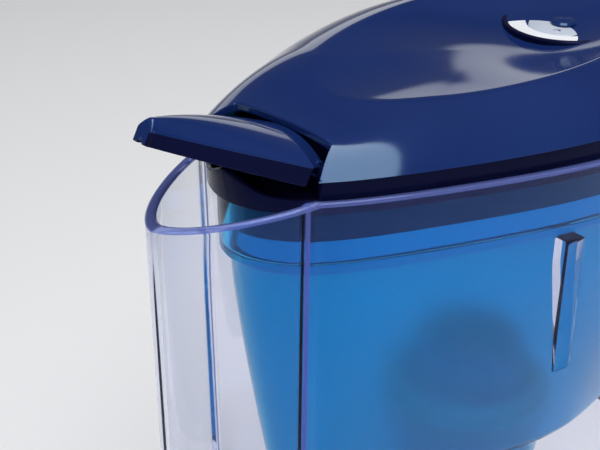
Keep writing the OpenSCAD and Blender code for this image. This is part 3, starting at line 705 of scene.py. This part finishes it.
# marks are the scales of the clouds and of the fine lines, rough the span of the roughness
finishes = {
    "clearWall": {"tint": (0.985, 0.985, 1.0), "ior": 1.47, "shine": (0.14, 0.22, 0.7), "through": 1.0,
                  "marks": (12, 260), "rough": (0.015, 0.05), "bump": 0.02,
                  "absorb": (0.32, 0.44, 0.88), "density": 45.0},
    # the rim and crease glass: painted glow and shade, violet-blue where light runs along the thick edges
    "paintedEdgeGlowShade": {"tint": (0.16, 0.21, 0.62), "ior": 1.47, "shine": (0.5, 0.6, 1.0), "through": 0.55,
                  "marks": (12, 260), "rough": (0.08, 0.14), "bump": 0.02},
    "blueTint": {"tint": (0.0, 0.53, 0.93), "ior": 1.42, "shine": (0.02, 0.35, 1.0), "through": 0.85,
                 "marks": (12, 260), "rough": (0.16, 0.22), "bump": 0.02},
    "blueBand": {"tint": (0.02, 0.50, 0.92), "ior": 1.45, "shine": (0.1, 0.4, 1.0), "through": 1.0,
                 "marks": (12, 260), "rough": (0.02, 0.06), "bump": 0.02},
    "lidGloss": {"dark": (0.0070, 0.021, 0.110), "light": (0.0090, 0.025, 0.125), "ior": 1.5,
                 "shine": (0.5, 0.78, 1.0), "marks": (22, 1400), "rough": (0.05, 0.10), "bump": 0.02},
    # the collar's dark plastic, also put on the flap's skirt and underside and on the steel hinge pins as
    # painted shade
    "collarAndPaintedShade": {"dark": (0.003, 0.004, 0.024), "light": (0.004, 0.005, 0.030), "ior": 1.3,
                    "shine": (0.14, 0.17, 0.5), "marks": (26, 1400), "rough": (0.2, 0.3), "bump": 0.03},
    "gripMatt": {"dark": (0.018, 0.022, 0.07), "light": (0.024, 0.029, 0.09),
                 "marks": (60, 2600), "rough": (0.55, 0.7), "bump": 0.35},
    "dialWhite": {"dark": (0.74, 0.76, 0.80), "light": (0.80, 0.82, 0.86),
                  "marks": (80, 2400), "rough": (0.35, 0.45), "bump": 0.1},
    "dialGrey": {"dark": (0.44, 0.49, 0.58), "light": (0.50, 0.55, 0.65),
                 "marks": (80, 2400), "rough": (0.35, 0.45), "bump": 0.1},
    "filterWhite": {"dark": (0.76, 0.77, 0.78), "light": (0.82, 0.83, 0.84),
                    "marks": (50, 1800), "rough": (0.35, 0.5), "bump": 0.12},
    "filterBlue": {"dark": (0.025, 0.10, 0.44), "light": (0.03, 0.12, 0.50),
                   "marks": (50, 1800), "rough": (0.2, 0.32), "bump": 0.06},
    "sealRubber": {"dark": (0.50, 0.52, 0.55), "light": (0.56, 0.58, 0.61),
                   "marks": (90, 2200), "rough": (0.5, 0.65), "bump": 0.2},
    "screenMesh": {"dark": (0.55, 0.60, 0.68), "light": (0.75, 0.79, 0.85), "grain": 1400,
                   "marks": (200, 4200), "rough": (0.5, 0.7), "bump": 0.6},
    "carbonGrain": {"dark": (0.010, 0.010, 0.011), "light": (0.035, 0.035, 0.038), "grain": 900,
                    "marks": (200, 2700), "rough": (0.35, 0.6), "bump": 0.6},
    "resinGrain": {"dark": (0.42, 0.25, 0.05), "light": (0.72, 0.50, 0.18), "grain": 1500,
                   "marks": (200, 4500), "rough": (0.25, 0.4), "bump": 0.6},
}


def clearMaterial(name, look):
    # tinted glass, with absorption in its depth where the finish names it
    material, shader, marks, bumpNode = baseMaterial(name, look)
    shader.inputs["Base Color"].default_value = (*look["tint"], 1)
    shader.inputs["Transmission Weight"].default_value = look["through"]
    shader.inputs["IOR"].default_value = look["ior"]
    shader.inputs["Specular Tint"].default_value = (*look["shine"], 1)
    if "absorb" in look:
        soak = material.node_tree.nodes.new("ShaderNodeVolumeAbsorption")
        soak.inputs["Color"].default_value = (*look["absorb"], 1)
        soak.inputs["Density"].default_value = look["density"]
        out = material.node_tree.nodes["Material Output"]
        material.node_tree.links.new(soak.outputs["Volume"], out.inputs["Volume"])
    return material


def plasticMaterial(name, look):
    # solid plastic, its colour drifting between dark and light
    material, shader, marks, bumpNode = baseMaterial(name, look)
    tintBetween(material, shader, marks, look["dark"], look["light"])
    shader.inputs["IOR"].default_value = look.get("ior", 1.5)
    shader.inputs["Specular Tint"].default_value = (*look.get("shine", (1, 1, 1)), 1)
    return material


def grainMaterial(name, look):
    # round grains: the distance to the nearest cell point gives height, the cell's colour the tone
    material, shader, marks, bumpNode = baseMaterial(name, look, 0.0004)
    nodes, links = material.node_tree.nodes, material.node_tree.links
    coord = nodes.new("ShaderNodeTexCoord")
    cells = nodes.new("ShaderNodeTexVoronoi")
    cells.inputs["Scale"].default_value = look["grain"]
    links.new(coord.outputs["Object"], cells.inputs["Vector"])
    flip = nodes.new("ShaderNodeMath")
    flip.operation = "SUBTRACT"
    flip.inputs[0].default_value = 1.0
    links.new(cells.outputs["Distance"], flip.inputs[1])
    links.new(flip.outputs["Value"], bumpNode.inputs["Height"])
    tone = nodes.new("ShaderNodeSeparateColor")
    links.new(cells.outputs["Color"], tone.inputs["Color"])
    ramp = nodes.new("ShaderNodeValToRGB")
    ramp.color_ramp.elements[0].color = (*look["dark"], 1)
    ramp.color_ramp.elements[1].color = (*look["light"], 1)
    links.new(tone.outputs["Red"], ramp.inputs["Fac"])
    links.new(ramp.outputs["Color"], shader.inputs["Base Color"])
    return material


def makeFinish(name, look):
    # a tint makes it clear, a grain makes it granular, anything else is plastic
    if "tint" in look:
        return clearMaterial(name, look)
    if "grain" in look:
        return grainMaterial(name, look)
    return plasticMaterial(name, look)


finish = {name: makeFinish(name, look) for name, look in finishes.items()}

pieceLooks = {"clearWall": (jugWall, jugHandle, jugLugs), "gripMatt": (softGrip,), "blueTint": (hopperBowl,),
              "lidGloss": (lidDome, flapShell), "collarAndPaintedShade": (lidCollar,)}
for name, pieces in pieceLooks.items():
    for piece in pieces:
        piece.data.materials.append(finish[name])
for piece in (jugWall, jugHandle, jugLugs):
    piece.visible_shadow = False  # lamps shine through the clear wall onto what is inside

# the rim and a line inside each crease of the jug take a darker violet-blue glass: painted glow and shade of
# light running along the thick edges
tipColumn = jugSizes["columns"] + jugSizes["spoutColumns"] - 2
rimFrom = jugSizes["baseSteps"] + jugSizes["lowSteps"] + jugSizes["topSteps"]
rimTo = rimFrom + jugSizes["rimSteps"] - 1
faceRow, faceCol = np.divmod(np.arange(len(jugWall.data.polygons)), 2 * tipColumn)
fromTip = np.abs(faceCol + 0.5 - tipColumn)
creaseFrom, creaseTo = jugSizes["paintedCreaseColumns"]
paintedCreaseLine = (faceRow >= rimTo) & (fromTip > creaseFrom) & (fromTip < creaseTo)
pickFaces(jugWall, finish["paintedEdgeGlowShade"], (faceRow >= rimFrom) & (faceRow < rimTo) | paintedCreaseLine)

# the hopper's band and ledge are clear, its bowl is slightly frosted
faceRow = np.arange(len(hopperBowl.data.polygons)) // hopperSizes["columns"]
bandFrom, bandTo = (corner * hopperSizes["cornerSteps"] for corner in hopperSizes["bandCorners"])
pickFaces(hopperBowl, finish["blueBand"], (faceRow >= bandFrom) & (faceRow < bandTo - 1))

# painted shade: the flap's skirt and underside take the collar's darker plastic, though they are the same
# moulding as its top
faceOf = np.arange(len(flapShell.data.polygons))
onTop = (faceOf % flapCols >= topFrom) & (faceOf % flapCols < topTo)
pickFaces(flapShell, finish["collarAndPaintedShade"], (faceOf < flapQuads) & ~onTop)

# the steel hinge pins take the collar's dark plastic: painted shade in the gap, in place of their steel
# glint
nodeLooks = {"base_pad": "gripMatt", "socket_seal": "sealRubber", "hinge_deck": "collarAndPaintedShade",
             "hinge_pins": "collarAndPaintedShade", "dial_cup": "collarAndPaintedShade", "day_ring": "dialWhite",
             "month_disc": "dialGrey", "dial_button": "lidGloss", "filter_shell": "filterWhite",
             "filter_cap": "filterBlue", "top_screen": "screenMesh", "carbon_bed": "carbonGrain",
             "bed_divider": "screenMesh", "resin_bed": "resinGrain", "bottom_screen": "screenMesh",
             "filter_base": "filterWhite", "pull_tab": "filterBlue"}
for nodeName, look in nodeLooks.items():
    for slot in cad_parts[nodeName].material_slots:
        slot.material = finish[look]
print("stage: materials set")

# floor, light and camera
stageLooks = {"floorSize": 8.0, "floor": (0.88, 0.885, 0.90), "sky": (0.97, 0.98, 1.0),
              "skyStops": [(0.0, 0.88), (0.17, 0.85), (0.2, 0.1), (0.55, 0.05), (1.0, 0.25)]}
softboxes = {"overhead": {"at": (0.0, -0.26, 1.5), "size": (0.52, 2.1), "power": 21, "turn": -19},
             "nearLeft": {"at": (-1.3, -0.6, 1.1), "size": (0.9, 0.9), "power": 8, "toward": (0, 0, 0.2)}}
cameraLook = {"sensor": 36, "lens": 74.7, "at": (-0.27465, -0.21309, 0.36140), "tilt": 61.5, "pan": -43}


def makeFloor():
    # a pale matt square at the height the base stands on
    half = stageLooks["floorSize"] / 2
    mesh = bpy.data.meshes.new("floor")
    mesh.from_pydata([(-half, -half, 0), (half, -half, 0), (half, half, 0), (-half, half, 0)], [],
                     [(0, 1, 2, 3)])
    floor = bpy.data.objects.new("floor", mesh)
    bpy.context.scene.collection.objects.link(floor)
    material = bpy.data.materials.new("paleFloor")
    material.use_nodes = True
    shader = material.node_tree.nodes["Principled BSDF"]
    shader.inputs["Base Color"].default_value = (*stageLooks["floor"], 1)
    shader.inputs["Roughness"].default_value = 0.7
    mesh.materials.append(material)


def addSoftbox(name, look):
    # one lamp aims at a point, the other faces straight down and is turned about its own axis
    light = bpy.data.lights.new(name, "AREA")
    light.shape = "RECTANGLE"
    light.size, light.size_y = look["size"]
    light.energy = look["power"]
    lamp = bpy.data.objects.new(name, light)
    bpy.context.scene.collection.objects.link(lamp)
    lamp.location = look["at"]
    if "toward" in look:
        aim = Vector(look["toward"]) - Vector(look["at"])
        lamp.rotation_euler = aim.to_track_quat("-Z", "Y").to_euler()
    else:
        lamp.rotation_euler = (0, 0, radians(look["turn"]))


def makeWorld():
    # brightness by height of the ray: pale at the horizon, dim above it, a little lighter overhead
    world = bpy.data.worlds.new("paleRoom")
    bpy.context.scene.world = world
    world.use_nodes = True
    nodes, links = world.node_tree.nodes, world.node_tree.links
    coord, split = nodes.new("ShaderNodeTexCoord"), nodes.new("ShaderNodeSeparateXYZ")
    ramp = nodes.new("ShaderNodeValToRGB")
    links.new(coord.outputs["Generated"], split.inputs["Vector"])
    links.new(split.outputs["Z"], ramp.inputs["Fac"])
    stops = ramp.color_ramp.elements
    stops[0].position, stops[1].position = stageLooks["skyStops"][0][0], stageLooks["skyStops"][1][0]
    for place, _ in stageLooks["skyStops"][2:]:
        stops.new(place)
    for stop, (_, level) in zip(stops, stageLooks["skyStops"]):
        stop.color = (*(level * c for c in stageLooks["sky"]), 1)
    links.new(ramp.outputs["Color"], nodes["Background"].inputs["Color"])


def addCamera(look):
    # tilt is measured up from straight down, pan about the upright
    lensData = bpy.data.cameras.new("photoCamera")
    lensData.sensor_width, lensData.lens = look["sensor"], look["lens"]
    camera = bpy.data.objects.new("photoCamera", lensData)
    camera.location = look["at"]
    camera.rotation_euler = (radians(look["tilt"]), 0, radians(look["pan"]))
    bpy.context.scene.collection.objects.link(camera)
    bpy.context.scene.camera = camera


makeFloor()
makeWorld()
for name, look in softboxes.items():
    addSoftbox(name, look)
addCamera(cameraLook)
bpy.context.scene.view_settings.view_transform = "Standard"
print("stage: light and camera set")
